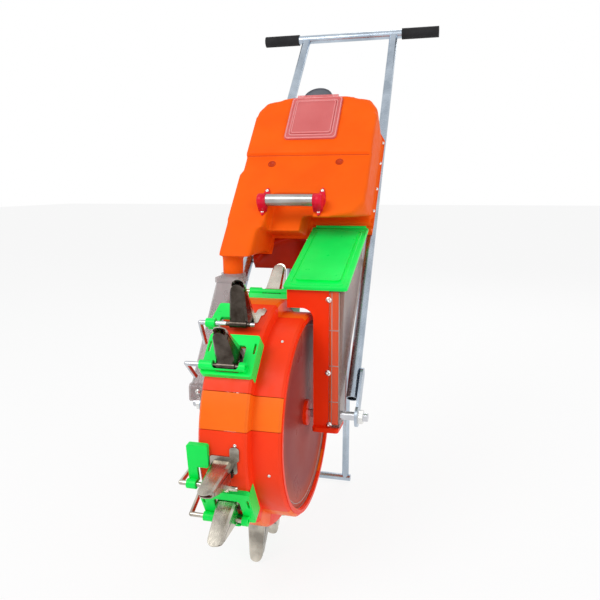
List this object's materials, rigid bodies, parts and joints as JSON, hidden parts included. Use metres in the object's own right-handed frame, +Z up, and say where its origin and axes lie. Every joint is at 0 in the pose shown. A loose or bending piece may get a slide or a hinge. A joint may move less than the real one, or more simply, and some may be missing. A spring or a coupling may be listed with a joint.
{
  "type": "hand seed planter",
  "caption": "Hand-pushed planter: duckbill drum on an axle, inclined fertiliser tank, side seed box with hinged lid, T handlebar and a folding stand.",
  "frame": {"origin": "on the ground, under the middle of the whole machine", "axes": "+Z up, +Y from the drum towards the handle, +X to the seed box side"},
  "size_m": [0.474, 1.0053, 1.1142],
  "materials": {
    "galvanised": "zinc-plated steel tube, satin",
    "stainless": "pressed stainless sheet",
    "rubber_grip": "black foam rubber",
    "tank_plastic": "blow-moulded orange polyethylene",
    "salmon_plastic": "moulded red-orange plastic",
    "amber_plastic": "moulded orange plastic",
    "red_orange": "moulded red-orange plastic",
    "green_plastic": "moulded bright green plastic",
    "crimson_plastic": "moulded crimson plastic",
    "clear_plastic": "clear moulded plastic, slightly smoked",
    "pink_clear": "translucent pink plastic",
    "black_plastic": "black plastic"
  },
  "bodies": {
    "frame": {"side_tubes": "galvanised", "cross_tubes": "galvanised", "handlebar": "galvanised", "grips": "rubber_grip", "axle": "galvanised", "axle_plates": "galvanised", "axle_nuts": "galvanised", "fertiliser_tank": "tank_plastic", "tank_back": "tank_plastic", "rear_plate": "black_plastic", "lift_grip": "galvanised", "lift_grip_brackets": "crimson_plastic", "chute_collar": "clear_plastic", "fertiliser_chute": "clear_plastic", "seed_box": "red_orange", "seed_box_window": "clear_plastic", "seed_box_foot": "red_orange", "stand_ears": "galvanised"},
    "tank_lid": {"tank_lid": "pink_clear"},
    "seed_lid": {"seed_box_lid": "green_plastic"},
    "stand": {"parking_stand": "galvanised"},
    "drum": {"drum_long_segments": "salmon_plastic", "drum_short_segments": "amber_plastic", "drum_left_disc": "red_orange", "drum_right_disc": "clear_plastic", "drum_rim_ring": "red_orange", "drum_core": "red_orange", "seed_brackets": "green_plastic", "seed_fixed_jaws": "stainless", "fert_bearing_blocks": "green_plastic", "fert_fixed_jaws": "stainless"},
    "seed_jaw_1": {"seed_jaw_1": "stainless"},
    "seed_jaw_2": {"seed_jaw_2": "stainless"},
    "seed_jaw_3": {"seed_jaw_3": "stainless"},
    "seed_jaw_4": {"seed_jaw_4": "stainless"},
    "seed_jaw_5": {"seed_jaw_5": "stainless"},
    "fert_jaw_1": {"fert_jaw_1": "stainless"},
    "fert_jaw_2": {"fert_jaw_2": "stainless"},
    "fert_jaw_3": {"fert_jaw_3": "stainless"},
    "fert_jaw_4": {"fert_jaw_4": "stainless"},
    "fert_jaw_5": {"fert_jaw_5": "stainless"}
  },
  "joints": [
    {"name": "drum_spin", "type": "hinge", "parent": "frame", "child": "drum", "pos_m": [-0.006, -0.21281, 0.28802], "axis": [1, 0, 0], "continuous": true},
    {"name": "tank_lid_hinge", "type": "hinge", "parent": "frame", "child": "tank_lid", "pos_m": [0, 0.1154, 0.89904], "axis": [-1, 0, 0], "range_deg": [0, 110]},
    {"name": "seed_lid_hinge", "type": "hinge", "parent": "frame", "child": "seed_lid", "pos_m": [0.075, 0.00708, 0.61827], "axis": [-1, 0, 0], "range_deg": [0, 28]},
    {"name": "stand_fold", "type": "hinge", "parent": "frame", "child": "stand", "pos_m": [0, 0.12746, 0.63632], "axis": [1, 0, 0], "range_deg": [0, 135]},
    {"name": "seed_jaw_1_hinge", "type": "hinge", "parent": "drum", "child": "seed_jaw_1", "pos_m": [-0.006, -0.39315, 0.42194], "axis": [1, 0, 0], "range_deg": [0, 14], "stiffness_Nm_per_rad": 0.4, "springref_deg": -28.65},
    {"name": "seed_jaw_2_hinge", "type": "hinge", "parent": "drum", "child": "seed_jaw_2", "pos_m": [-0.006, -0.14117, 0.50092], "axis": [1, 0, 0], "range_deg": [0, 14], "stiffness_Nm_per_rad": 0.4, "springref_deg": -28.65},
    {"name": "seed_jaw_3_hinge", "type": "hinge", "parent": "drum", "child": "seed_jaw_3", "pos_m": [-0.006, 0.01181, 0.28568], "axis": [1, 0, 0], "range_deg": [0, 14], "stiffness_Nm_per_rad": 0.4, "springref_deg": -28.65},
    {"name": "seed_jaw_4_hinge", "type": "hinge", "parent": "drum", "child": "seed_jaw_4", "pos_m": [-0.006, -0.14562, 0.07368], "axis": [1, 0, 0], "range_deg": [0, 14], "stiffness_Nm_per_rad": 0.4, "springref_deg": -28.65},
    {"name": "seed_jaw_5_hinge", "type": "hinge", "parent": "drum", "child": "seed_jaw_5", "pos_m": [-0.006, -0.3959, 0.15789], "axis": [1, 0, 0], "range_deg": [0, 14], "stiffness_Nm_per_rad": 0.4, "springref_deg": -28.65},
    {"name": "fert_jaw_1_hinge", "type": "hinge", "parent": "drum", "child": "fert_jaw_1", "pos_m": [-0.006, -0.33318, 0.47767], "axis": [1, 0, 0], "range_deg": [0, 14], "stiffness_Nm_per_rad": 0.4, "springref_deg": -28.65},
    {"name": "fert_jaw_2_hinge", "type": "hinge", "parent": "drum", "child": "fert_jaw_2", "pos_m": [-0.006, -0.06964, 0.46111], "axis": [1, 0, 0], "range_deg": [0, 14], "stiffness_Nm_per_rad": 0.4, "springref_deg": -28.65},
    {"name": "fert_jaw_3_hinge", "type": "hinge", "parent": "drum", "child": "fert_jaw_3", "pos_m": [-0.006, -0.00395, 0.20534], "axis": [1, 0, 0], "range_deg": [0, 14], "stiffness_Nm_per_rad": 0.4, "springref_deg": -28.65},
    {"name": "fert_jaw_4_hinge", "type": "hinge", "parent": "drum", "child": "fert_jaw_4", "pos_m": [-0.006, -0.2269, 0.06384], "axis": [1, 0, 0], "range_deg": [0, 14], "stiffness_Nm_per_rad": 0.4, "springref_deg": -28.65},
    {"name": "fert_jaw_5_hinge", "type": "hinge", "parent": "drum", "child": "fert_jaw_5", "pos_m": [-0.006, -0.43038, 0.23214], "axis": [1, 0, 0], "range_deg": [0, 14], "stiffness_Nm_per_rad": 0.4, "springref_deg": -28.65}
  ]
}
